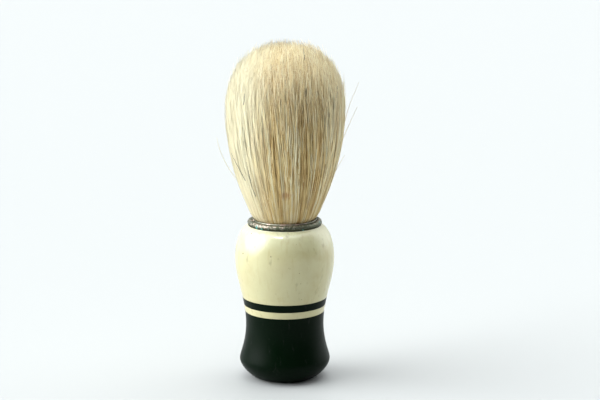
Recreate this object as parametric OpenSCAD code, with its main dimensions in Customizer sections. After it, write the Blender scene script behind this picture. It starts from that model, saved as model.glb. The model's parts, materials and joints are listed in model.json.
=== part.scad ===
// Shaving brush: a turned wooden handle under cream and black enamel, a metal ferrule cup with
// a round collar ring at its mouth, and a bulb-shaped knot of bristle set in the cup.
// Z is up. The origin is the centre of the flat face that the brush stands on.

/* [Handle] */
// Height of the turned handle, up to the seat of the collar ring
handle_h = 49.9; // [47:0.1:53]
// Diameter of the flat face that the brush stands on
foot_d = 18; // [14:0.1:20]
// Largest diameter of the base
base_d = 29.1; // [27:0.1:31]
// Height at which the base is widest
base_z = 6; // [5:0.1:7]
// Smallest diameter of the waist
waist_d = 25.0; // [23:0.1:26]
// Height of the waist
waist_z = 17.5; // [16:0.1:19]
// Largest diameter of the belly
belly_d = 31.8; // [30:0.1:34]
// Height at which the belly is widest
belly_z = 39.3; // [38:0.1:41]
// Diameter of the flat seat under the collar ring
seat_d = 23.5; // [22.6:0.1:24]

/* [Enamel] */
// Thickness of the enamel coats
coat_t = 0.25; // [0.1:0.05:0.5]
// Height of the lower edge of the cream body
cream_z = 26.5; // [24:0.1:30]
// Width of the black line below the cream body
black_line_w = 2.5; // [1:0.1:4]
// Width of the cream line below the black line
cream_line_w = 2.15; // [1:0.05:4]

/* [Ferrule] */
// Outside diameter of the ferrule cup
cup_d = 20; // [18:0.1:21]
// Thickness of the cup's sheet metal
cup_t = 0.4; // [0.3:0.05:0.6]
// Depth of the cup below the collar ring's seat
cup_depth = 14; // [12:0.5:18]
// Height of the curled lip's centre above the seat
lip_rise = 1.7; // [1.7:0.1:2.6]
// Radius of the curled lip's round edge
lip_r = 0.35; // [0.25:0.05:0.45]
// Outside diameter of the collar ring
collar_d = 23.8; // [23:0.1:24.6]
// Depth of the flat on the collar ring's underside
collar_flat = 0.15; // [0.1:0.05:0.3]
// Thickness of the glue between the cup and the wooden socket
glue_t = 0.2; // [0.1:0.05:0.4]

/* [Knot] */
// Height of the knot's crown above the floor
knot_top_z = 108.4; // [100:0.1:116]
// Largest diameter of the knot
knot_d = 37.7; // [34:0.1:42]
// Height at which the knot is widest
knot_wide_z = 87.5; // [82:0.1:92]
// Diameter of the bound bundle of bristle inside the cup
bundle_d = 17.4; // [16:0.1:17.8]
// Height of the cement plug in the cup
cement_h = 8; // [6:0.5:9]
// Depth of cement under the bristle ends
cement_floor = 2; // [1:0.5:3]
// Number of turns in the twine binding
twine_turns = 5; // [3:1:6]
// Diameter of the binding twine
twine_d = 0.8; // [0.6:0.1:0.8]

/* [Flex] */
// Height of the point about which the knot bends
flex_z = 57; // [56:0.1:58]
// Radius of the fixed dome of bristle at the bend
dome_r = 9; // [8.5:0.1:9]
// Outside radius of the bending shell over the dome
heel_r = 11; // [10.6:0.1:11]
// Clearance between the bristle bodies
flex_gap = 0.3; // [0.2:0.05:0.3]

/* [Hidden] */
$fn = 96;

curve_steps = 12;
arc_step = 7.5;

// Heights of the bands' edges
black_line_z = cream_z - black_line_w;
cream_line_z = black_line_z - cream_line_w;

// Ferrule and socket
cup_z = handle_h - cup_depth;
cup_in_r = cup_d / 2 - cup_t;
socket_r = cup_d / 2 + glue_t;
socket_z = cup_z - glue_t;
lip_z = handle_h + lip_rise;
lip_c = cup_in_r + lip_r;
bead_r = (collar_d - cup_d) / 4;
bead_c = collar_d / 2 - bead_r;
bead_z = handle_h + bead_r - collar_flat;

// Bristle inside the cup
cement_z = cup_z + cup_t;
cement_top = cement_z + cement_h;
butt_z = cement_z + cement_floor;
twine_z = cement_top + 0.7;
twine_pitch = 0.78 * twine_d;
twine_c = bundle_d / 2 + 0.37 * twine_d;
twine_top = twine_z + (twine_turns - 1) * twine_pitch + twine_d / 2;
mouth_r = cup_in_r - 0.1;
neck_z = lip_z - 2;

// The fixed collar of bristle above the mouth, kept below the sweep of the bending bodies
flare_r = 10.7;
flare_z = flex_z - 3.6;
flare_top = flex_z - 3;

// Lowest height of the bodies that bend
rim_z = flex_z + 0.3;

// Point on a cubic curve
function cubic(a, b, c, d, t) =
    a * pow(1 - t, 3) + 3 * b * t * pow(1 - t, 2) + 3 * c * t * t * (1 - t) + d * pow(t, 3);

// Points on a cubic curve, without its first point
function curve(a, b, c, d) =
    [for (i = [1 : curve_steps]) cubic(a, b, c, d, i / curve_steps)];

// Widest and narrowest points of the handle
foot = [foot_d / 2, 0];
base = [base_d / 2, base_z];
waist = [waist_d / 2, waist_z];
belly = [belly_d / 2, belly_z];
seat = [seat_d / 2, handle_h];

// Outline of the handle from the foot to the seat: round edge, base, waist, belly, shoulder
handle_curve = concat(
    [foot],
    curve(foot, foot + [1.6, 0], base - [0, 2.4], base),
    curve(base, base + [0, 1.5], waist - [0, 6], waist),
    curve(waist, waist + [0, 8.5], belly - [0, 7], belly),
    curve(belly, belly + [0, 5.6], seat + [2.4, -0.9], seat)
);

// Widest point and crown of the knot, and its mouth in the ferrule
knot_mouth = [mouth_r, lip_z];
knot_wide = [knot_d / 2, knot_wide_z];
knot_crown = [0, knot_top_z];
knot_curve = concat(
    [knot_mouth],
    curve(knot_mouth, knot_mouth + [5.2, 9], knot_wide - [0, 14], knot_wide),
    curve(knot_wide, knot_wide + [0, 11], knot_crown + [12, 0], knot_crown)
);

// Half section of the handle, with its skin moved inwards by inset
module handle_section(inset) {
    skin = [for (p = handle_curve) [p[0] - inset, max(p[1], inset)]];
    polygon(concat([[0, inset]], skin, [[0, handle_h]]));
}

// Ring of enamel between two heights
module enamel_band(low, high) {
    rotate_extrude() intersection() {
        difference() {
            handle_section(0);
            handle_section(coat_t);
        }
        translate([0, low]) square([belly_d, high - low]);
    }
}

// Turned handle with the socket bored in its top
module wood_handle() {
    color("burlywood") difference() {
        rotate_extrude() handle_section(coat_t);
        translate([0, 0, socket_z]) cylinder(r = socket_r, h = handle_h);
    }
}

// Cream enamel on the belly and shoulder
module cream_enamel() {
    color("ivory") enamel_band(cream_z, handle_h);
}

// Black line under the cream body
module black_line() {
    color("black") enamel_band(black_line_z, cream_z);
}

// Cream line between the black line and the base
module cream_line() {
    color("ivory") enamel_band(cream_line_z, black_line_z);
}

// Black enamel on the waist, base and underside
module black_enamel() {
    color("black") enamel_band(0, cream_line_z);
}

// Glue between the cup and the socket, under the cup and around it
module socket_glue() {
    color("peru") difference() {
        translate([0, 0, socket_z]) cylinder(r = socket_r, h = handle_h - socket_z);
        translate([0, 0, cup_z]) cylinder(r = cup_d / 2, h = cup_depth + 1);
    }
}

// Drawn metal cup with a curled lip
module ferrule_cup() {
    color("darkgray") rotate_extrude() union() {
        difference() {
            translate([0, cup_z]) square([cup_d / 2, lip_z - cup_z]);
            translate([0, cup_z + cup_t]) square([cup_in_r, lip_z]);
        }
        translate([lip_c, lip_z]) circle(r = lip_r, $fn = 32);
    }
}

// Round metal ring that sits on the shoulder around the cup
module collar_ring() {
    color("dimgray") rotate_extrude() difference() {
        translate([bead_c, bead_z]) circle(r = bead_r, $fn = 48);
        translate([0, handle_h - bead_r]) square([collar_d, bead_r]);
    }
}

// Cement that locks the bristle ends in the cup
module setting_cement() {
    color("saddlebrown") difference() {
        translate([0, 0, cement_z]) cylinder(r = cup_in_r, h = cement_h);
        translate([0, 0, butt_z]) cylinder(d = bundle_d, h = cement_h);
    }
}

// Turns of twine that bind the bristle above the cement
module binding_twine() {
    color("tan") rotate_extrude() difference() {
        for (turn = [0 : twine_turns - 1])
            translate([twine_c, twine_z + turn * twine_pitch]) circle(d = twine_d, $fn = 24);
        translate([0, cement_top]) square([bundle_d / 2, cement_h]);
    }
}

// Fixed part of the bristle: the ends in the cement, the bound neck, and the dome at the bend
module bristle_butts() {
    dome = [for (a = [0 : arc_step : 90]) [dome_r * cos(a), flex_z + dome_r * sin(a)]];
    color("wheat") rotate_extrude() polygon(concat(
        [[0, butt_z], [bundle_d / 2, butt_z], [bundle_d / 2, twine_top], [mouth_r, neck_z]],
        [[mouth_r, lip_z + lip_r], [flare_r, flare_z], [flare_r, flare_top], [dome_r, flare_top]],
        dome
    ));
}

// Bending part of the bristle, a shell over the dome
module bristle_heel() {
    color("navajowhite") difference() {
        translate([0, 0, flex_z]) sphere(r = heel_r);
        translate([0, 0, flex_z]) sphere(r = dome_r + flex_gap);
        translate([0, 0, rim_z - 2 * heel_r]) cylinder(r = 2 * heel_r, h = 2 * heel_r);
    }
}

// Free part of the bristle: the bulb and its crown
module bristle_loft() {
    color("cornsilk") difference() {
        rotate_extrude() polygon(concat([[0, lip_z]], knot_curve));
        translate([0, 0, flex_z]) sphere(r = heel_r + flex_gap);
        translate([0, 0, rim_z - knot_d]) cylinder(d = 2 * knot_d, h = knot_d);
    }
}

wood_handle();
cream_enamel();
black_line();
cream_line();
black_enamel();
socket_glue();
ferrule_cup();
collar_ring();
setting_cement();
binding_twine();
bristle_butts();
bristle_heel();
bristle_loft();
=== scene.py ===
import json
import math

import bpy
import numpy as np
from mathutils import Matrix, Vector


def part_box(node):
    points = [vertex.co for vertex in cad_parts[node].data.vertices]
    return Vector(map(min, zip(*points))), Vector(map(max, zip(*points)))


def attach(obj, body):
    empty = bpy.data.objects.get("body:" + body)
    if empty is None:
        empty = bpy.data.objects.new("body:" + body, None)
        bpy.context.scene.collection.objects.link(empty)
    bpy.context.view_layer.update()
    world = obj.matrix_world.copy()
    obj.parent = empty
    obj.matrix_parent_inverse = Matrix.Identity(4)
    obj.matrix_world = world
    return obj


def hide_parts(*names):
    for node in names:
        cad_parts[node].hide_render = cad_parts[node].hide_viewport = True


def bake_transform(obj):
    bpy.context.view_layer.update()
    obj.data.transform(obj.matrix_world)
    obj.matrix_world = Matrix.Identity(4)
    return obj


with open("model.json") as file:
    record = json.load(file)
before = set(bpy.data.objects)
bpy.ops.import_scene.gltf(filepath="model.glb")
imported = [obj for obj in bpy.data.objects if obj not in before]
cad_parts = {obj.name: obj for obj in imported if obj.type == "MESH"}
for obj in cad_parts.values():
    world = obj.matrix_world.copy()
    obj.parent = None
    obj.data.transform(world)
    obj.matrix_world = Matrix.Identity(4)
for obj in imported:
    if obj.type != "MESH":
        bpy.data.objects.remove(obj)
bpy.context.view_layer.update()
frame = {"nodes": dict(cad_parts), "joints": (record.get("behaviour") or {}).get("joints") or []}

MM = 0.001
TINY = 1e-6
SEED = 20

# ---------------------------------------------------------------- sizes from the frame

CUP_LOW, CUP_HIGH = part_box("ferrule_cup")
RING_LOW, RING_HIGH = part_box("collar_ring")
BUTT_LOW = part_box("bristle_butts")[0]
KNOT_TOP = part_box("bristle_loft")[1].z
LIP_TOP = CUP_HIGH.z
BEND_POINT = Vector(frame["joints"][0]["pos_m"])


def node_mesh(node):
    """Corners of a CAD node as (radius, height) rows, and its edges as pairs of row numbers."""
    mesh = frame["nodes"][node].data
    co = np.zeros(len(mesh.vertices) * 3)
    mesh.vertices.foreach_get("co", co)
    co = co.reshape(-1, 3)
    edges = np.zeros(len(mesh.edges) * 2, np.int32)
    mesh.edges.foreach_get("vertices", edges)
    return np.column_stack([np.hypot(co[:, 0], co[:, 1]), co[:, 2]]), edges.reshape(-1, 2)


def outline(nodes):
    """Outermost corners of round CAD nodes stacked on each other, from the bottom up."""
    corners, lower, upper = [], [], []
    for node in nodes:
        points, edges = node_mesh(node)
        ends = points[edges]
        flip = ends[:, 0, 1] > ends[:, 1, 1]
        ends[flip] = ends[flip][:, ::-1]
        corners.append(points)
        lower.append(ends[:, 0])
        upper.append(ends[:, 1])
    corners, lower, upper = np.vstack(corners), np.vstack(lower), np.vstack(upper)
    line = []
    for z in np.unique(corners[:, 1].round(6)):
        crossing = (lower[:, 1] < z + TINY) & (upper[:, 1] > z - TINY)
        a, b = lower[crossing], upper[crossing]
        t = np.clip((z - a[:, 1]) / np.maximum(b[:, 1] - a[:, 1], TINY), 0, 1)
        reach = (a[:, 0] + (b[:, 0] - a[:, 0]) * t).max()
        here = corners[np.abs(corners[:, 1] - z) < TINY, 0].max()
        if here > reach - 10 * TINY:
            line.append((here, z))
    return np.array(line)


def smooth_line(points, step):
    """Points about a step apart on a Catmull-Rom curve through the given points."""
    ends = np.vstack([2 * points[0] - points[1], points, 2 * points[-1] - points[-2]])
    line = [points[0]]
    for i in range(1, len(ends) - 2):
        a, b, c, d = ends[i - 1:i + 3]
        count = max(1, int(np.linalg.norm(c - b) / step))
        for t in np.linspace(0, 1, count + 1)[1:]:
            line.append(0.5 * (2 * b + (c - a) * t + (2 * a - 5 * b + 4 * c - d) * t * t
                               + (3 * b - a - 3 * c + d) * t ** 3))
    return np.array(line)


COATS = ["black_enamel", "cream_line", "black_line", "cream_enamel"]
HANDLE_LINE = smooth_line(outline(COATS), 0.4 * MM)
CUP_POINTS = node_mesh("ferrule_cup")[0]
MOUTH_R = CUP_POINTS[CUP_POINTS[:, 1] > RING_HIGH.z, 0].min()
RING_INNER = node_mesh("collar_ring")[0][:, 0].min()
BUTT_LINE = outline(["bristle_butts"])
FLARE = max(BUTT_LINE, key=lambda corner: (round(corner[0], 5), -corner[1]))
HAIR_GAP = 0.2 * MM
KNOT_LINE = smooth_line(
    np.vstack([[MOUTH_R - HAIR_GAP, LIP_TOP], FLARE, outline(["bristle_loft"])]), 0.5 * MM)
KNOT_WIDE_R, KNOT_WIDE_Z = KNOT_LINE[KNOT_LINE[:, 0].argmax()]

# ---------------------------------------------------------------- camera and light

CAMERA_DISTANCE = 0.600
CAMERA_HEIGHT = 0.178
LENS = 115.2
SENSOR_WIDTH = 36
AIM = Vector((0.0049, 0, 0.0578))


def make_camera():
    data = bpy.data.cameras.new("camera")
    data.lens = LENS
    data.sensor_width = SENSOR_WIDTH
    camera = bpy.data.objects.new("camera", data)
    bpy.context.scene.collection.objects.link(camera)
    camera.location = (0, -CAMERA_DISTANCE, CAMERA_HEIGHT)
    camera.rotation_euler = (AIM - camera.location).to_track_quat("-Z", "Y").to_euler()
    bpy.context.scene.camera = camera


SKY_COLOUR = (0.96, 0.985, 1, 1)
WINDOW_SIDE = Vector((-0.85, -0.08, 0.47))
# Parts of the surround: (from, to) along a direction's part, then the brightness at each.
OVERHEAD = (0, 0.9, 0.02, 1.1)
DIM_IN_FRONT = (-0.3, 0.6, 0.04, 1)
ZENITH = (0.72, 1.0, 0, 2.6)
WINDOW = (math.cos(math.radians(40)), math.cos(math.radians(14)), 0, 6.4)
RIGHT = (0.30, 0.9, 0, 1.6)
BESIDE_AND_BEHIND = (-0.3, 0.3, 0, 1)
BEHIND = (0.1, 0.8, 0, 0.7)


def make_sky():
    """Studio surround: a soft window at the left, bright above and behind, dim in front."""
    world = bpy.data.worlds.new("studio")
    bpy.context.scene.world = world
    world.use_nodes = True
    tree = world.node_tree
    direction = tree.nodes.new("ShaderNodeTexCoord").outputs["Generated"]
    parts = tree.nodes.new("ShaderNodeSeparateXYZ")
    tree.links.new(direction, parts.inputs[0])
    towards = tree.nodes.new("ShaderNodeVectorMath")
    towards.operation = "DOT_PRODUCT"
    tree.links.new(direction, towards.inputs[0])
    towards.inputs[1].default_value = WINDOW_SIDE.normalized()

    def ramp(socket, limits):
        made = tree.nodes.new("ShaderNodeMapRange")
        made.interpolation_type = "SMOOTHSTEP"
        tree.links.new(socket, made.inputs["Value"])
        for name, value in zip(("From Min", "From Max", "To Min", "To Max"), limits):
            made.inputs[name].default_value = value
        return made.outputs["Result"]

    def join(operation, a, b):
        made = tree.nodes.new("ShaderNodeMath")
        made.operation = operation
        tree.links.new(a, made.inputs[0])
        tree.links.new(b, made.inputs[1])
        return made.outputs[0]

    x, y, z = (parts.outputs[axis] for axis in "XYZ")
    room = join("MULTIPLY", ramp(z, OVERHEAD), ramp(y, DIM_IN_FRONT))
    room = join("ADD", room, ramp(z, ZENITH))
    window = ramp(towards.outputs["Value"], WINDOW)
    right = join("MULTIPLY", ramp(x, RIGHT), ramp(y, BESIDE_AND_BEHIND))
    behind = ramp(y, BEHIND)
    background = tree.nodes["Background"]
    background.inputs["Color"].default_value = SKY_COLOUR
    tree.links.new(join("ADD", join("ADD", room, window), join("ADD", right, behind)),
                   background.inputs["Strength"])


GLINT_PLACE = Vector((-0.12, -0.24, 0.54))
GLINT_AIM = Vector((0, 0, 0.05))
GLINT_SIZE = (0.16, 0.06)
GLINT_POWER = 0.9


def make_glint():
    """A small lamp that is seen only as a reflection on the handle's shoulder."""
    data = bpy.data.lights.new("glint", "AREA")
    data.shape = "RECTANGLE"
    data.size, data.size_y = GLINT_SIZE
    data.energy = GLINT_POWER
    glint = bpy.data.objects.new("glint", data)
    bpy.context.scene.collection.objects.link(glint)
    glint.location = GLINT_PLACE
    glint.rotation_euler = (GLINT_AIM - GLINT_PLACE).to_track_quat("-Z", "Y").to_euler()
    glint.visible_diffuse = False


def make_light():
    make_sky()
    make_glint()
    bpy.context.scene.view_settings.view_transform = "Standard"


# ---------------------------------------------------------------- material helpers


class Graph:
    """A material's node tree, with short ways to add what these materials use. The numbers in
    the materials are noise scales in turns per metre, thresholds from 0 to 1 and colours."""

    def __init__(self, name):
        self.material = bpy.data.materials.new(name)
        self.material.use_nodes = True
        self.tree = self.material.node_tree
        self.shader = self.tree.nodes["Principled BSDF"]

    def node(self, kind, **settings):
        made = self.tree.nodes.new(kind)
        for name, value in settings.items():
            setattr(made, name, value)
        return made

    def link(self, source, target):
        self.tree.links.new(source, target)

    def put(self, socket, value):
        if isinstance(value, bpy.types.NodeSocket):
            self.link(value, socket)
        elif isinstance(value, tuple) and len(value) == 3 and socket.type == "RGBA":
            socket.default_value = (*value, 1)
        else:
            socket.default_value = value

    def set(self, **values):
        """Sets the shader's own sockets: base_color=... sets Base Color."""
        for name, value in values.items():
            self.put(self.shader.inputs[name.replace("_", " ").title()], value)

    def place(self, scale=(1, 1, 1)):
        """Object coordinates, stretched."""
        mapping = self.node("ShaderNodeMapping")
        self.link(self.node("ShaderNodeTexCoord").outputs["Object"], mapping.inputs["Vector"])
        mapping.inputs["Scale"].default_value = scale
        return mapping.outputs["Vector"]

    def noise(self, where, scale, detail=3.0, roughness=0.5):
        made = self.node("ShaderNodeTexNoise")
        self.link(where, made.inputs["Vector"])
        made.inputs["Scale"].default_value = scale
        made.inputs["Detail"].default_value = detail
        made.inputs["Roughness"].default_value = roughness
        return made.outputs["Fac"]

    def cells(self, where, scale):
        made = self.node("ShaderNodeTexVoronoi")
        self.link(where, made.inputs["Vector"])
        made.inputs["Scale"].default_value = scale
        return made

    def range(self, value, low, high, to_low=0.0, to_high=1.0):
        made = self.node("ShaderNodeMapRange")
        self.put(made.inputs["Value"], value)
        made.inputs["From Min"].default_value = low
        made.inputs["From Max"].default_value = high
        made.inputs["To Min"].default_value = to_low
        made.inputs["To Max"].default_value = to_high
        return made.outputs["Result"]

    def math(self, operation, a, b):
        made = self.node("ShaderNodeMath", operation=operation)
        self.put(made.inputs[0], a)
        self.put(made.inputs[1], b)
        return made.outputs["Value"]

    def mix(self, amount, a, b):
        made = self.node("ShaderNodeMix", data_type="RGBA")
        self.put(made.inputs["Factor"], amount)
        self.put(made.inputs["A"], a)
        self.put(made.inputs["B"], b)
        return made.outputs["Result"]

    def bump(self, height, depth):
        made = self.node("ShaderNodeBump")
        self.link(height, made.inputs["Height"])
        made.inputs["Distance"].default_value = depth
        made.inputs["Strength"].default_value = 1
        return made.outputs["Normal"]

    def split(self, vector):
        made = self.node("ShaderNodeSeparateXYZ")
        self.link(vector, made.inputs["Vector"])
        return made.outputs


# ---------------------------------------------------------------- materials

# Painted light: the enamel turns paler between these heights, up to the shoulder that faces up.
TOP_LIGHT_HEIGHTS = (RING_LOW.z - 8 * MM, RING_LOW.z - 1 * MM)


def enamel(name, paint, painted_top_light, stain, speck, gloss, shine, chips=()):
    """Old gloss enamel brushed over wood: faint grain and brush lines, stains, pits and specks.
    Its colour turns paler towards the collar: painted light on the up-facing shoulder."""
    g = Graph(name)
    near = g.place()
    mottle = g.noise(near, 110, 4, 0.6)
    streak = g.noise(g.place((1, 1, 0.10)), 800, 2)
    blotch = g.range(g.noise(near, 150, 5, 0.65), 0.54, 0.72)
    pit = g.math("MAXIMUM", speckle(g, 380, 0.985, 0.12), speckle(g, 800, 0.94, 0.10))
    for centre, radius in chips:
        pit = g.math("MAXIMUM", pit, spot(g, centre, radius))
    rub = g.range(g.noise(g.place((1, 1, 0.35)), 620, 3, 0.6), 0.62, 0.72)
    # Painted light: a paler colour towards the top, where the shoulder faces up.
    top_light_share = g.range(g.split(near)["Z"], *TOP_LIGHT_HEIGHTS)
    colour = g.mix(top_light_share, paint, painted_top_light)
    colour = g.mix(g.range(mottle, 0.35, 0.7, 0, 0.35), colour, stain)
    colour = g.mix(g.range(streak, 0.55, 0.80, 0, 0.40), colour, stain)
    colour = g.mix(g.math("MULTIPLY", blotch, 0.40), colour, stain)
    colour = g.mix(g.math("MULTIPLY", rub, 0.28), colour, speck)
    colour = g.mix(pit, colour, speck)
    rough = g.range(g.noise(near, 220, 3, 0.5), 0.3, 0.7, gloss, gloss + 0.07)
    height = g.math("ADD", g.math("MULTIPLY", streak, 0.4), mottle)
    height = g.math("SUBTRACT", height, g.math("MULTIPLY", pit, 3.0))
    g.set(base_color=colour, roughness=rough, normal=g.bump(height, 0.03 * MM))
    g.shader.inputs["Specular IOR Level"].default_value = shine
    return g.material


def speckle(g, scale, rare, size):
    """Round specks in a few cells of a Voronoi pattern: 1 inside a speck."""
    cell = g.cells(g.place(), scale)
    chosen = g.range(g.split(cell.outputs["Color"])["X"], rare, rare + 0.005)
    return g.math("MULTIPLY", g.range(cell.outputs["Distance"], size, size * 0.5), chosen)


def spot(g, centre, radius):
    """1 near a point of the object, falling to 0 at about a radius from it, with a ragged edge."""
    gap = g.node("ShaderNodeVectorMath", operation="DISTANCE")
    g.link(g.place(), gap.inputs[0])
    gap.inputs[1].default_value = centre
    ragged = g.range(g.noise(g.place(), 0.8 / radius, 2), 0.3, 0.7, 0, 0.7 * radius)
    return g.range(g.math("ADD", gap.outputs["Value"], ragged), radius, radius * 0.5)


METAL_DARK = (0.085, 0.095, 0.060)
# Bright worn metal, also used as a painted highlight on the ring's top and lip.
METAL_WORN_AND_HIGHLIGHT = (0.46, 0.46, 0.38)
METAL_PINK = (0.72, 0.54, 0.47)
# Near-black grime, also painted as shade where the ring meets the handle.
METAL_GRIME_AND_SHADE = (0.012, 0.014, 0.008)
METAL_GREEN = (0.08, 0.42, 0.40)


def tarnished_metal():
    """Old plated brass gone dark: worn bright in patches, with a painted highlight on top at the
    left and along the lip in front, painted shade to the right, grime and painted shade below,
    copper-pink and verdigris."""
    g = Graph("tarnished_metal")
    near = g.place()
    patch = g.noise(near, 350, 4, 0.6)
    grit = g.noise(near, 1500, 4, 0.7)
    green = g.range(g.noise(near, 420, 3, 0.6), 0.68, 0.72)
    for centre, radius in VERDIGRIS:
        green = g.math("MAXIMUM", green, spot(g, centre, radius))
    height = g.split(near)["Z"]
    across = g.split(near)["X"]
    # Painted light: the worn colour is kept to the ring's top as a painted highlight and fades to
    # the right as painted shade.
    top = g.math("MULTIPLY", g.range(height, RING_LOW.z + 0.5 * MM, RING_HIGH.z, 0.10, 1),
                 g.range(across, 2 * MM, 9 * MM, 1, 0.30))
    wear_and_highlight = g.math("MULTIPLY", g.range(grit, 0.44, 0.60), g.range(patch, 0.35, 0.60, 0.45, 1))
    # Painted highlight: the lip is painted bright only in front, where it catches the light.
    lip = g.math("MULTIPLY", g.range(height, RING_HIGH.z - 0.05 * MM, RING_HIGH.z + 0.15 * MM),
                 g.range(g.split(near)["Y"], -5 * MM, -9 * MM, 0, 0.8))
    wear_and_highlight = g.math("MAXIMUM", g.math("MULTIPLY", wear_and_highlight, top), lip)
    # Darker towards the bottom: grime and painted shade where the ring sits on the handle.
    grime_and_shade = g.range(height, RING_LOW.z + 0.9 * MM, RING_LOW.z + 0.1 * MM, 0, 0.8)
    colour = g.mix(wear_and_highlight, METAL_DARK, METAL_WORN_AND_HIGHLIGHT)
    # The copper-pink follows the same mask, so part of it is painted highlight too.
    pink = g.math("MULTIPLY", wear_and_highlight, g.range(patch, 0.50, 0.60))
    colour = g.mix(pink, colour, METAL_PINK)
    colour = g.mix(grime_and_shade, colour, METAL_GRIME_AND_SHADE)
    colour = g.mix(green, colour, METAL_GREEN)
    rough = g.range(grit, 0.3, 0.7, 0.65, 0.36)
    relief = g.math("ADD", g.math("MULTIPLY", patch, 0.5), grit)
    g.set(base_color=colour, metallic=g.range(green, 0, 1, 0.9, 0.1), roughness=rough,
          normal=g.bump(relief, 0.08 * MM))
    return g.material


def wood():
    """Turned pale hardwood: long grain, fine pores."""
    g = Graph("turned_wood")
    grain = g.noise(g.place((1, 1, 0.08)), 350, 5, 0.6)
    pores = g.noise(g.place((1, 1, 0.03)), 2200, 2)
    colour = g.mix(g.range(grain, 0.3, 0.7), (0.42, 0.26, 0.13), (0.66, 0.47, 0.28))
    colour = g.mix(g.range(pores, 0.60, 0.75, 0, 0.5), colour, (0.22, 0.12, 0.06))
    g.set(base_color=colour, roughness=g.range(grain, 0.2, 0.8, 0.75, 0.55),
          normal=g.bump(pores, 0.05 * MM))
    return g.material


def set_solid(name, dark, light, scale, roughness):
    """A cast or dried filler, such as cement or glue: cloudy, with a grainy surface."""
    g = Graph(name)
    cloud = g.noise(g.place(), scale, 5, 0.65)
    g.set(base_color=g.mix(g.range(cloud, 0.3, 0.7), dark, light),
          roughness=g.range(cloud, 0.3, 0.7, roughness, roughness + 0.2),
          normal=g.bump(cloud, 0.08 * MM))
    return g.material


def twine():
    """Twisted flax twine: slanting strands along each turn."""
    g = Graph("flax_twine")
    where = g.node("ShaderNodeTexWave", wave_type="BANDS", bands_direction="DIAGONAL")
    g.link(g.place(), where.inputs["Vector"])
    where.inputs["Scale"].default_value = 420
    where.inputs["Distortion"].default_value = 1.5
    strands = where.outputs["Fac"]
    g.set(base_color=g.mix(strands, (0.30, 0.21, 0.11), (0.62, 0.50, 0.32)),
          roughness=0.85, normal=g.bump(strands, 0.1 * MM))
    return g.material


BRISTLE_GOLD = (0.44, 0.25, 0.08)
BRISTLE_BODY = (0.88, 0.68, 0.31)
BRISTLE_PALE = (1.00, 0.92, 0.62)
# Pale tip colour, also painted on the knot's sides as painted light.
BRISTLE_TIP_AND_SIDE_LIGHT = (1.00, 0.95, 0.68)
BRISTLE_ROOT = (0.44, 0.30, 0.13)
# Scale of the noise that drifts a hair's colour: far apart for two tints, slow along a hair.
DRIFT_SCALE = (900, 9, 1)
# Where across the knot the painted light starts and finishes: the lit left side and the right rim
# are painted paler.
SIDE_LIGHT_LEFT = (-4 * MM, -12 * MM)
SIDE_LIGHT_RIGHT = (11 * MM, 18 * MM)
RUST_STAIN = (0.3 * MM, -13.8 * MM, 62.0 * MM)
RUST_REACH = 2.6 * MM
RUST_COLOUR = (0.45, 0.17, 0.07)


def bristle():
    """Boar bristle. The Strand map has each hair's own tint across and its height upwards."""
    g = Graph("boar_bristle")
    strand = g.node("ShaderNodeUVMap", uv_map="Strand")
    tint, along = g.split(strand.outputs["UV"])["X"], g.split(strand.outputs["UV"])["Y"]
    own = g.node("ShaderNodeMapping")
    g.link(strand.outputs["UV"], own.inputs["Vector"])
    own.inputs["Scale"].default_value = DRIFT_SCALE
    drift = g.range(g.noise(own.outputs["Vector"], 1, 2), 0.28, 0.72, -0.42, 0.42)
    shade = g.math("ADD", tint, drift)
    patch = g.noise(g.place((1, 1, 0.25)), 260, 3)
    colour = g.mix(g.range(shade, -0.05, 0.42), BRISTLE_GOLD, BRISTLE_BODY)
    colour = g.mix(g.range(shade, 0.50, 0.90), colour, BRISTLE_PALE)
    colour = g.mix(g.range(patch, 0.45, 0.70, 0, 0.25), colour, BRISTLE_GOLD)
    colour = g.mix(g.range(along, 0.32, 0.02, 0, 0.40), colour, BRISTLE_ROOT)
    faded = g.math("MULTIPLY", g.range(along, 0.45, 1.0, 0, 0.75),
                   g.range(shade, 0, 0.8, 0.15, 1))
    colour = g.mix(faded, colour, BRISTLE_TIP_AND_SIDE_LIGHT)
    # Painted light: the knot's left side, which faces the light, and its right rim are painted
    # paler.
    across = g.split(g.place())["X"]
    painted_side_light = g.math("ADD", g.range(across, *SIDE_LIGHT_LEFT, 0, 0.72),
                      g.range(across, *SIDE_LIGHT_RIGHT, 0, 0.30))
    colour = g.mix(painted_side_light, colour, BRISTLE_TIP_AND_SIDE_LIGHT)
    rust = g.math("MULTIPLY", spot(g, RUST_STAIN, RUST_REACH), 0.5)
    colour = g.mix(rust, colour, RUST_COLOUR)
    g.set(base_color=colour, roughness=g.range(tint, 0, 1, 0.60, 0.42))
    g.shader.inputs["Specular IOR Level"].default_value = 0.25
    return g.material


# ---------------------------------------------------------------- mesh helpers


def add_mesh(name, corners, faces, material, smooth=True):
    mesh = bpy.data.meshes.new(name)
    corners = np.asarray(corners, float)
    faces = np.asarray(faces, np.int32)
    per_face = faces.shape[1]
    mesh.vertices.add(len(corners))
    mesh.vertices.foreach_set("co", corners.ravel())
    mesh.loops.add(faces.size)
    mesh.loops.foreach_set("vertex_index", faces.ravel())
    mesh.polygons.add(len(faces))
    mesh.polygons.foreach_set("loop_start", np.arange(len(faces), dtype=np.int32) * per_face)
    mesh.polygons.foreach_set("loop_total", np.full(len(faces), per_face, np.int32))
    mesh.update(calc_edges=True)
    mesh.validate()
    if smooth:
        mesh.polygons.foreach_set("use_smooth", np.ones(len(mesh.polygons), bool))
    mesh.materials.append(material)
    piece = bpy.data.objects.new(name, mesh)
    bpy.context.scene.collection.objects.link(piece)
    return piece


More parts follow.
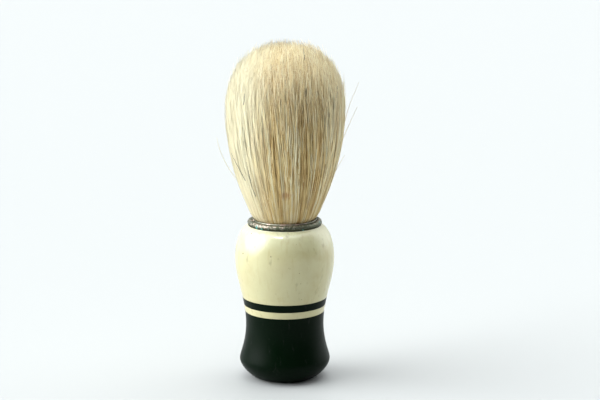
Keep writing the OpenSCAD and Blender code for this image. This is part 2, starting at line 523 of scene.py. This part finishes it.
def strand_map(piece, tint, along):
    """Writes the Strand map: a hair's tint and how far up it is, by corner."""
    mesh = piece.data
    corner = np.zeros(len(mesh.loops), np.int32)
    mesh.loops.foreach_get("vertex_index", corner)
    layer = mesh.uv_layers.new(name="Strand")
    layer.data.foreach_set("uv", np.column_stack([tint[corner], along[corner]]).ravel())


def rings_to_faces(rings, around):
    """Four-sided faces of a grid that closes both ways: round each ring, and last ring to first."""
    rows = np.arange(rings)
    i = np.arange(around)
    a = (rows[:, None] * around + i).ravel()
    b = (rows[:, None] * around + (i + 1) % around).ravel()
    up = ((rows + 1) % rings)[:, None] * around
    c = (up + (i + 1) % around).ravel()
    d = (up + i).ravel()
    return np.column_stack([a, b, c, d])


TURNED_AROUND = 256
# Turned sections stop this far from the axis.
AXIS_GAP = 0.2 * MM


def lathe(name, section, material, wobble):
    """Turns a closed section, given as (radius, height) rows counter-clockwise, round the axis."""
    around = TURNED_AROUND
    angle = np.linspace(0, 2 * math.pi, around, endpoint=False)
    r = np.repeat(section[:, 0][:, None], around, 1)
    z = np.repeat(section[:, 1][:, None], around, 1)
    r = r + wobble(angle[None, :], z)
    corners = np.stack([r * np.cos(angle), r * np.sin(angle), z], -1).reshape(-1, 3)
    return add_mesh(name, corners, rings_to_faces(len(section), around), material)


def waves(rng, count, turns, rise, amount):
    """A smooth random field of angle and height: count sine waves, with up to so many turns
    round the axis and rise radians per mm of height, that together reach the amount."""
    n = rng.integers(1, turns + 1, count)
    k = rng.uniform(-rise, rise, count)
    phase = rng.uniform(0, 2 * math.pi, count)
    share = rng.uniform(0.3, 1, count)
    share *= amount / share.sum()

    def field(angle, z):
        total = 0
        for j in range(count):
            total = total + share[j] * np.sin(n[j] * angle + k[j] * z / MM + phase[j])
        return total

    return field


# ---------------------------------------------------------------- handle and ferrule

COAT_T = 0.25 * MM
EDGE_R = 0.04 * MM


def round_point(degrees, r, z):
    """Point at an angle round the axis; -90 degrees is the front."""
    a = math.radians(degrees)
    return (r * math.cos(a), r * math.sin(a), z)


def handle_r(z):
    """Radius of the handle at a height."""
    return np.interp(z, HANDLE_LINE[:, 1], HANDLE_LINE[:, 0])


def coat_section(low, high):
    """Closed section of one enamel coat between two heights, with rounded edges outside. The
    lowest coat also covers the base."""
    line = HANDLE_LINE
    turn = np.linspace(0, math.pi / 2, 4)
    top = [(handle_r(high) - EDGE_R * (1 - math.cos(a)), high - EDGE_R * (1 - math.sin(a)))
           for a in turn]
    if low <= line[0, 1]:
        outer = np.vstack([line[line[:, 1] < high - EDGE_R], top])
        inner = outer[::-1] - [COAT_T, 0]
        inner[:, 1] = np.maximum(inner[:, 1], COAT_T)
        return np.vstack([[[AXIS_GAP, 0]], outer, inner, [[AXIS_GAP, COAT_T]]])
    bottom = [(handle_r(low) - EDGE_R * (1 - math.cos(a)), low + EDGE_R * (1 - math.sin(a)))
              for a in turn[::-1]]
    between = line[(line[:, 1] > low + EDGE_R) & (line[:, 1] < high - EDGE_R)]
    outer = np.vstack([bottom, between, top])
    return np.vstack([outer, outer[::-1] - [COAT_T, 0]])


# Chips in the cream enamel seen in front: ((degrees round, height), radius).
CHIPS = [
    ((-106, 42.7 * MM), 0.34 * MM),
    ((-73, 37.4 * MM), 0.22 * MM),
    ((-71, 33.9 * MM), 0.26 * MM),
    ((-72, 30.6 * MM), 0.30 * MM),
    ((-68, 28.4 * MM), 0.20 * MM),
    ((-84, 39.0 * MM), 0.15 * MM),
]

# gloss is the lowest roughness and shine the specular level.
# The second colour is painted light: the paler tone of the up-facing shoulder under the collar.
CREAM = {"paint": (0.635, 0.60, 0.335), "painted_top_light": (0.75, 0.76, 0.50),
         "stain": (0.50, 0.41, 0.19), "speck": (0.10, 0.06, 0.03), "gloss": 0.12, "shine": 0.8}
BLACK = {"paint": (0.0005, 0.0055, 0.0012), "painted_top_light": (0.0005, 0.0055, 0.0012),
         "stain": (0.003, 0.008, 0.004), "speck": (0.03, 0.03, 0.028), "gloss": 0.34,
         "shine": 0.05}


def make_coats(rng):
    chips = [(round_point(at[0], handle_r(at[1]), at[1]), r) for at, r in CHIPS]
    cream = enamel("cream_enamel_paint", chips=chips, **CREAM)
    black = enamel("black_enamel_paint", **BLACK)
    turned = waves(rng, count=14, turns=9, rise=0.35, amount=0.05 * MM)
    for node, paint in zip(COATS, [black, cream, black, cream]):
        low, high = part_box(node)
        coat = lathe(node + "_coat", coat_section(low.z, high.z), paint, turned)
        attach(coat, "handle")
        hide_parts(node)


# Verdigris under the collar ring, most of it left of the front.
VERDIGRIS = [
    (round_point(-139, RING_HIGH.x, RING_LOW.z + 0.4 * MM), 1.3 * MM),
    (round_point(-128, RING_HIGH.x, RING_LOW.z + 0.2 * MM), 1.0 * MM),
    (round_point(-60, RING_HIGH.x, RING_LOW.z + 0.2 * MM), 0.6 * MM),
    (round_point(48, RING_HIGH.x, RING_LOW.z + 0.3 * MM), 1.0 * MM),
]


def round_section(centre, radius, low, count):
    """A circle's section, cut flat at a lowest height."""
    a = np.linspace(0, 2 * math.pi, count, endpoint=False)
    ring = np.column_stack([centre[0] + radius * np.cos(a), centre[1] + radius * np.sin(a)])
    ring[:, 1] = np.maximum(ring[:, 1], low)
    return ring


def make_ring(rng, metal):
    """Collar ring: round wire, cut flat where it sits on the handle, with small dents."""
    radius = (RING_HIGH.x - RING_INNER) / 2
    centre = (RING_INNER + radius, RING_HIGH.z - radius)
    dents = waves(rng, count=18, turns=30, rise=0.2, amount=0.07 * MM)
    section = round_section(centre, radius, low=RING_LOW.z, count=28)
    ring = lathe("collar_ring_metal", section, metal, dents)
    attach(ring, "handle")
    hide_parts("collar_ring")


def cup_section():
    """Closed section of the sheet-metal cup: floor, wall, and lip curled outwards."""
    wall = RING_INNER - MOUTH_R
    lip_r = (CUP_HIGH.x - MOUTH_R) / 2
    lip = (MOUTH_R + lip_r, LIP_TOP - lip_r)
    curl = [(lip[0] + lip_r * math.cos(a), lip[1] + lip_r * math.sin(a))
            for a in np.linspace(-0.6 * math.pi, math.pi, 18)]
    corner = 0.3 * MM
    return np.vstack([
        [[AXIS_GAP, CUP_LOW.z], [RING_INNER - corner, CUP_LOW.z], [RING_INNER, CUP_LOW.z + corner]],
        [[RING_INNER, lip[1] - 1.5 * lip_r]], curl,
        [[MOUTH_R, CUP_LOW.z + 2 * wall], [MOUTH_R - wall, CUP_LOW.z + wall],
         [AXIS_GAP, CUP_LOW.z + wall]],
    ])


def make_ferrule(rng):
    metal = tarnished_metal()
    make_ring(rng, metal)
    dents = waves(rng, count=10, turns=14, rise=0.1, amount=0.03 * MM)
    cup = lathe("ferrule_cup_metal", cup_section(), metal, dents)
    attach(cup, "handle")
    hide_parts("ferrule_cup")


def dress_inner_nodes():
    """Materials for the CAD nodes that stay as they are."""
    looks = {
        "wood_handle": wood(),
        "socket_glue": set_solid("hide_glue", (0.20, 0.10, 0.04), (0.42, 0.25, 0.11), 500, 0.3),
        "setting_cement": set_solid("cement", (0.07, 0.035, 0.02), (0.20, 0.11, 0.06), 700, 0.5),
        "binding_twine": twine(),
    }
    for node, material in looks.items():
        for holder in frame["nodes"][node].material_slots:
            holder.material = material


# ---------------------------------------------------------------- bristle

# The hairs start below the lip. All but the odd ones are cut at SPLIT_Z, near the hinges.
# Inside them, a core fills this share of the fan's radius.
STRAND_LOW = LIP_TOP - 3.0 * MM
SPLIT_Z = BEND_POINT.z - 1.8 * MM
CORE_SHARE = 0.84
# Past its widest point the fan closes by this share of what the knot's outline does.
CROWN_CLOSING = 0.36
# The knot leans and turns a little as it rises.
SWAY = 0.5 * MM
TWIST = math.radians(-9)


def unit(vector):
    """Vectors brought to length 1."""
    never_zero = 1e-12
    return vector / (np.linalg.norm(vector, axis=-1, keepdims=True) + never_zero)


def knot_r(z):
    """Radius of the knot's outline at a height."""
    return np.interp(z, KNOT_LINE[:, 1], KNOT_LINE[:, 0])


def fan_r(z):
    """How far out the fan of bristle reaches at a height: past the widest point it closes slowly."""
    close = KNOT_WIDE_R + CROWN_CLOSING * (knot_r(z) - KNOT_WIDE_R)
    return np.where(z > KNOT_WIDE_Z, close, knot_r(z))


def tip_heights(share):
    """Height at which a hair at this share of the fan's radius reaches the crown's surface."""
    z = np.linspace(KNOT_WIDE_Z, KNOT_TOP, 200)
    reach = knot_r(z) / np.maximum(fan_r(z), TINY)
    return np.interp(share, reach[::-1], z[::-1])


def rise_of(z):
    """0 where the loose hairs start, 1 at the crown."""
    return np.clip((z - STRAND_LOW) / (KNOT_TOP - STRAND_LOW), 0, 1.05)


# Share of the knot's own surface in a hair's shading, and how far that is raised at the crown.
SHADING_SHARE = 0.75
SKYWARD = 0.5


def knot_normals(path):
    """Direction that the knot's surface faces at each point of a path, raised towards the tips,
    because translucent hair passes on the light that falls on it from above."""
    step = 0.2 * MM
    z = np.clip(path[:, :, 2], KNOT_LINE[0, 1], KNOT_TOP - step)
    slope = (knot_r(z + step) - knot_r(z - step)) / (2 * step)
    out = unit(path[:, :, :2])
    face = unit(np.concatenate([out, -slope[:, :, None]], -1))
    face[:, :, 2] += SKYWARD * rise_of(z) ** 2
    return unit(face)


def bake_map(piece, hairs, points):
    """Gives each hair its own strip of a map that colours can be baked into."""
    rows = max(1, round(math.sqrt(hairs / 4)))
    columns = -(-hairs // rows)
    number = np.arange(hairs)
    across = ((number % columns)[:, None] + [0.15, 0.15, 0.85, 0.85]) / columns
    up = np.arange(points - 1)[:, None] + [0, 1, 1, 0]
    up = (0.05 + 0.9 * up / (points - 1))[None] + (number // columns)[:, None, None]
    u = np.broadcast_to(across[:, None, None, :], (hairs, points - 1, 3, 4))
    v = np.broadcast_to((up / rows)[:, :, None, :], (hairs, points - 1, 3, 4))
    layer = piece.data.uv_layers.new(name="OFBake")
    layer.data.foreach_set("uv", np.stack([u, v], -1).ravel())


def hair_tubes(name, path, width, tint, material):
    """Three-sided tapered tubes. path is (hairs, points, 3) and width (hairs, points)."""
    hairs, points, _ = path.shape
    ahead = unit(np.gradient(path, axis=1))
    level = [1.0, 0.3, 0.0]
    side = unit(np.cross(ahead, level))
    up = np.cross(side, ahead)
    corners = np.empty((hairs, points, 3, 3))
    shading = np.empty((hairs, points, 3, 3))
    faces_out = knot_normals(path)
    for k in range(3):
        a = 2 * math.pi * k / 3
        spoke = side * math.cos(a) + up * math.sin(a)
        corners[:, :, k] = path + spoke * width[:, :, None]
        shading[:, :, k] = unit(faces_out * SHADING_SHARE + spoke * (1 - SHADING_SHARE))
    one = []
    for p in range(points - 1):
        for k in range(3):
            n = (k + 1) % 3
            one.append((p * 3 + k, (p + 1) * 3 + k, (p + 1) * 3 + n, p * 3 + n))
    faces = (np.arange(hairs)[:, None, None] * points * 3 + np.array(one)[None]).reshape(-1, 4)
    piece = add_mesh(name, corners.reshape(-1, 3), faces, material)
    strand_map(piece, np.repeat(tint, points * 3), np.repeat(rise_of(path[:, :, 2]).ravel(), 3))
    bake_map(piece, hairs, points)
    piece.data.normals_split_custom_set_from_vertices(shading.reshape(-1, 3))
    return piece


def make_wisps(rng, count, inside, outside):
    """Wisps that hairs gather into: place in the disc, pull, side and outward lean, tint."""
    share = np.sqrt(rng.uniform(inside ** 2, outside ** 2, count))
    angle = rng.uniform(0, 2 * math.pi, count)
    return {
        "home": np.column_stack([share * np.cos(angle), share * np.sin(angle)]),
        "pull": rng.uniform(0.0, 0.6, count),
        "side": rng.normal(0, 1.3 * MM, count),
        "out": rng.normal(-0.30 * MM, 0.28 * MM, count),
        "top": rng.normal(0, 0.45 * MM, count),
        "tint": rng.beta(0.8, 0.7, count),
    }


def nearest(points, others):
    """Row number in others of the nearest row to each point."""
    found = np.empty(len(points), np.int64)
    batch = 500
    for i in range(0, len(points), batch):
        gap = points[i:i + batch, None, :] - others[None, :, :]
        found[i:i + batch] = (gap ** 2).sum(-1).argmin(1)
    return found


# Shares of the hairs that stray from their wisp, stand off, reach past the crown, are thick.
LOOSE_SHARE = 0.25
LIFTED_SHARE = 0.03
LONG_SHARE = 0.06
THICK_SHARE = 0.15
# Partings in the outer hairs: (degrees round, how far the hairs lean away, how deep it goes).
PARTINGS = [
    (-63, 0.9 * MM, 1.6 * MM), (-45, 0.6 * MM, 1.2 * MM), (-95, 0.4 * MM, 0.6 * MM),
    (20, 0.8 * MM, 1.1 * MM), (75, 0.6 * MM, 0.9 * MM), (140, 0.8 * MM, 1.2 * MM),
    (205, 0.5 * MM, 0.8 * MM),
]
PARTING_WIDTH = 0.075


def part_hairs(angle, side, lift, tint):
    """Leans hairs away from each parting and lowers them, the nearer the more, and darkens them as
    painted shade in the parting.
    """
    for degrees, lean, depth in PARTINGS:
        gap = (angle - math.radians(degrees) + math.pi) % (2 * math.pi) - math.pi
        near = np.exp(-(gap / PARTING_WIDTH) ** 2)
        side += lean * np.sign(gap) * near
        lift -= depth * near
        # Painted shade: hairs in a parting are darkened.
        tint *= 1 - 0.75 * near


def draw_tips(rng, share, top):
    """Heights of the hairs' tips: ragged, fuller towards the sides, and a few long ones."""
    count = len(share)
    tip = tip_heights(share) + top + rng.normal(-0.9 * MM, 0.8 * MM, count)
    tip += 1.3 * MM * np.clip((share - 0.45) / 0.35, 0, 1)
    long = rng.uniform(0, 1, count) < LONG_SHARE
    tip += np.where(long, rng.uniform(0, 1.5 * MM, count), 0)
    return np.minimum(tip, KNOT_TOP + 0.8 * MM)


def plan_hairs(rng, count, inside, outside, wisps):
    """Draws what sets each hair apart: its place in the disc, leans, waves, tip, tint, width."""
    share = np.sqrt(rng.uniform(inside ** 2, outside ** 2, count))
    angle = rng.uniform(0, 2 * math.pi, count)
    out = np.column_stack([np.cos(angle), np.sin(angle)])
    home = out * share[:, None]
    mine = nearest(home, wisps["home"])
    loose = rng.uniform(0, 1, count) < LOOSE_SHARE
    side = wisps["side"][mine] + rng.normal(0, 1, count) * np.where(loose, 3.2 * MM, 1.3 * MM)
    lift = wisps["out"][mine] + rng.normal(0, 0.22 * MM, count)
    lifted = rng.uniform(0, 1, count) < LIFTED_SHARE
    lift += np.where(lifted, rng.uniform(0.3, 1.2, count) * MM, 0)
    tint = 0.15 * wisps["tint"][mine] + 0.85 * rng.beta(0.8, 0.7, count)
    part_hairs(angle, side, lift, tint)
    tip = draw_tips(rng, share, wisps["top"][mine])
    thick = rng.uniform(0.085, 0.135, count) * MM
    thick *= np.where(rng.uniform(0, 1, count) < THICK_SHARE, 1.4, 1)
    return {
        "out": out, "home": home, "side": side, "lift": lift, "tip": tip, "thick": thick,
        "wisp": wisps["home"][mine], "pull": wisps["pull"][mine],
        "turns": rng.uniform(0.8, 2.6, (count, 2, 1)),
        "phase": rng.uniform(0, 2 * math.pi, (count, 2, 1)),
        "size": rng.uniform(0.10, 0.42, (count, 2, 1)) * MM,
        "tint": tint,
    }


def hair_path(plan, z):
    """Points of each planned hair at the heights z, an array of (hairs, points)."""
    rise = rise_of(z)
    pull = plan["pull"][:, None] * rise ** 1.1
    flat = plan["home"][:, None, :] + (plan["wisp"] - plan["home"])[:, None, :] * pull[:, :, None]
    wave = plan["size"] * np.sin(2 * math.pi * plan["turns"] * rise[:, None, :] + plan["phase"])
    side = plan["side"][:, None] * rise ** 1.25 + wave[:, 0] * rise
    lift = plan["lift"][:, None] * rise ** 1.5 + wave[:, 1] * rise ** 0.7
    out = plan["out"]
    across = np.column_stack([-out[:, 1], out[:, 0]])
    xy = flat * fan_r(z)[:, :, None]
    xy = xy + across[:, None, :] * side[:, :, None] + out[:, None, :] * lift[:, :, None]
    turn = TWIST * np.minimum(1, 1.35 * rise)
    x, y = xy[:, :, 0], xy[:, :, 1]
    xy = np.stack([x * np.cos(turn) - y * np.sin(turn), x * np.sin(turn) + y * np.cos(turn)], -1)
    xy[:, :, 0] += SWAY * rise
    return np.concatenate([xy, z[:, :, None]], -1)


FLAG_LENGTH = 9 * MM


def hair_width(plan, z):
    """Half width of each planned hair at the heights z, thinning to its split tip."""
    near_tip = np.clip(1 - (plan["tip"][:, None] - z) / FLAG_LENGTH, 0, 1)
    return plan["thick"][:, None] * (1 - 0.15 * rise_of(z)) * (1 - 0.75 * near_tip)


def hair_piece(name, plan, rows, z, material):
    """Tubes of some rows of a plan, at the heights z of those rows."""
    part = {key: value[rows] for key, value in plan.items()}
    return hair_tubes(name, hair_path(part, z), hair_width(part, z), part["tint"], material)


def ride_bend(piece, node, upper):
    """Fixes a bristle piece's place into its mesh and hides the CAD node that it stands for."""
    if upper:
        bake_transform(piece)
    else:
        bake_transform(piece)
    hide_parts(node)


OUTER_HAIRS = 7200
OUTER_WISPS = 2000


def make_outer_hairs(rng, material):
    """Outer hairs, cut at SPLIT_Z into lower and upper halves.
    The upper halves are shared out among three pieces, to keep each mesh small."""
    count = OUTER_HAIRS
    plan = plan_hairs(rng, count, CORE_SHARE, 1, make_wisps(rng, OUTER_WISPS, CORE_SHARE, 1))
    low = np.array([STRAND_LOW, LIP_TOP, LIP_TOP + 1.0 * MM, LIP_TOP + 2.1 * MM, SPLIT_Z])
    z = np.tile(low, (count, 1))
    ride_bend(hair_piece("outer_bristles_lower", plan, slice(None), z, material),
              "bristle_butts", False)
    closer_low_down = 1.3
    steps = np.linspace(0, 1, 14) ** closer_low_down
    labels = "abc"
    size = count // len(labels)
    for i, label in enumerate(labels):
        rows = slice(i * size, (i + 1) * size)
        z = SPLIT_Z + (plan["tip"][rows, None] - SPLIT_Z) * steps
        ride_bend(hair_piece("outer_bristles_upper_" + label, plan, rows, z, material),
                  "bristle_loft", True)


INNER_HAIRS = 5500
INNER_WISPS = 900
INNER_LENGTH = 14 * MM


def make_inner_hairs(rng, material):
    """Hairs inside the outer ones, from a little below the crown up to it."""
    outside = CORE_SHARE + 0.03
    wisps = make_wisps(rng, INNER_WISPS, 0, outside)
    plan = plan_hairs(rng, INNER_HAIRS, 0, outside, wisps)
    z = plan["tip"][:, None] - INNER_LENGTH * np.linspace(1, 0, 7)
    piece = hair_piece("inner_bristles", plan, slice(None), z, material)
    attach(piece, "knot")
    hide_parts("bristle_loft")


CORE_AROUND = 240
FLUTE_DEPTH = 0.025
# The core's crown is this share as high above the widest point as the knot's.
CROWN_CORE_SHARE = 0.88


def core_piece(name, z, r, material, flutes):
    """Closed, fluted bundle of packed bristle with radius r at heights z."""
    around = CORE_AROUND
    angle = np.linspace(0, 2 * math.pi, around, endpoint=False)
    ripple = 1 - FLUTE_DEPTH * (1 + flutes(angle[None, :], z[:, None]))
    thinnest = 0.05 * MM
    grid = np.maximum(r, thinnest)[:, None] * ripple
    hole = np.full((1, around), 0.03 * MM)
    grid = np.vstack([hole, grid, hole])
    z = np.concatenate([[z[0]], z, [z[-1]]])
    corners = np.stack([grid * np.cos(angle), grid * np.sin(angle),
                        np.repeat(z[:, None], around, 1)], -1).reshape(-1, 3)
    piece = add_mesh(name, corners, rings_to_faces(len(z), around), material)
    tint = np.tile(0.3 + 0.3 * np.sin(angle * 37) * np.sin(angle * 11 + 1), len(z))
    strand_map(piece, tint, np.repeat(0.8 * rise_of(z), around))
    return piece


def make_core(rng, material):
    """Packed bristle inside the hairs: the bundle in the cup, the bend, and the bulb."""
    flutes = waves(rng, count=40, turns=110, rise=0.03, amount=1)
    z = np.linspace(BUTT_LOW.z, STRAND_LOW, 12)
    r = np.interp(z, BUTT_LINE[:, 1], BUTT_LINE[:, 0])
    bundle = core_piece("bristle_bundle", z, r, material, flutes)
    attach(bundle, "handle")
    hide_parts("bristle_butts")
    z = np.linspace(STRAND_LOW, SPLIT_Z, 10)
    ride_bend(core_piece("bristle_core_lower", z, fan_r(z) * CORE_SHARE, material, flutes),
              "bristle_heel", False)
    z = np.linspace(SPLIT_Z, KNOT_TOP, 60)
    r = np.minimum(knot_r(z), fan_r(z)) * CORE_SHARE
    lowered = KNOT_WIDE_Z + (z - KNOT_WIDE_Z) * CROWN_CORE_SHARE
    z = np.where(z > KNOT_WIDE_Z, lowered, z)
    ride_bend(core_piece("bristle_core_upper", z, r, material, flutes), "bristle_loft", True)


def make_knot(rng):
    pale = bristle()
    make_outer_hairs(rng, pale)
    make_inner_hairs(rng, pale)
    make_core(rng, pale)
    make_odd_hairs(rng, "stray_bristles", STRAYS, pale)
    make_odd_hairs(rng, "dark_bristles", DARK_HAIRS, dark_bristle())


# Single hairs seen in front, as (x, z) in mm from low to high.
STRAYS = [
    [(15.6, 68), (18.6, 81.4), (20.4, 88.5), (23.4, 95.8)],
    [(16.6, 72), (18.5, 78), (20.6, 83), (23.0, 88.2)],
    [(14.6, 64.5), (16.9, 69), (19.0, 72.7)],
    [(-15.4, 65), (-18.3, 69.5), (-20.6, 74.8), (-21.4, 78.4)],
]
DARK_HAIRS = [
    [(-9.0, 61.0), (-10.2, 64.4), (-11.2, 69.2), (-11.9, 72.6)],
    [(-12.3, 66.0), (-14.4, 69.8), (-16.8, 74.0)],
    [(6.3, 103.8), (5.9, 107.0)],
    [(6.4, 93.5), (6.1, 98.0)],
    [(-12.6, 90.5), (-12.2, 94.0)],
    [(16.2, 92.0), (16.5, 95.4)],
]


def dark_bristle():
    """A dark bristle among the pale ones: brown-black, lighter along some of its length."""
    g = Graph("dark_boar_bristle")
    streak = g.noise(g.place((1, 1, 0.3)), 900, 2)
    g.set(base_color=g.mix(g.range(streak, 0.4, 0.7), (0.020, 0.013, 0.010), (0.10, 0.06, 0.035)),
          roughness=g.range(streak, 0.3, 0.7, 0.45, 0.6))
    return g.material


def make_odd_hairs(rng, name, hairs, material):
    """Hairs that lie on the knot's front, or stand off its side where they reach past it."""
    count = 12
    clear = 0.35 * MM
    least_depth = 1.5 * MM
    path = np.empty((len(hairs), count, 3))
    for i, points in enumerate(hairs):
        points = np.array(points) * MM
        line = smooth_line(points, 0.1 * MM)
        t = np.linspace(0, len(line) - 1, count)
        x, z = (np.interp(t, np.arange(len(line)), line[:, k]) for k in range(2))
        depth = np.sqrt(np.maximum(knot_r(z) ** 2 - x ** 2, least_depth ** 2))
        path[i] = np.column_stack([x, -depth - clear, z])
    reach = np.tile(np.linspace(0, 1, count), (len(hairs), 1))
    half_width = 0.095 * MM
    width = half_width * (1 - 0.6 * reach ** 3)
    piece = hair_tubes(name, path, width, rng.uniform(0, 0.2, len(hairs)), material)
    ride_bend(piece, "bristle_loft", True)


# ---------------------------------------------------------------- stage


FLOOR_COLOUR = (0.45, 0.465, 0.46)
FLOOR_HALF = 6.0


def make_floor():
    g = Graph("pale_floor")
    g.set(base_color=FLOOR_COLOUR, roughness=0.6)
    half = FLOOR_HALF
    corners = [(-half, -half, 0), (half, -half, 0), (half, half, 0), (-half, half, 0)]
    floor = add_mesh("floor", corners, [(0, 1, 2, 3)], g.material, smooth=False)


make_camera()
make_light()
make_floor()
make_coats(np.random.default_rng(SEED))
make_ferrule(np.random.default_rng(SEED + 1))
dress_inner_nodes()
make_knot(np.random.default_rng(SEED + 2))
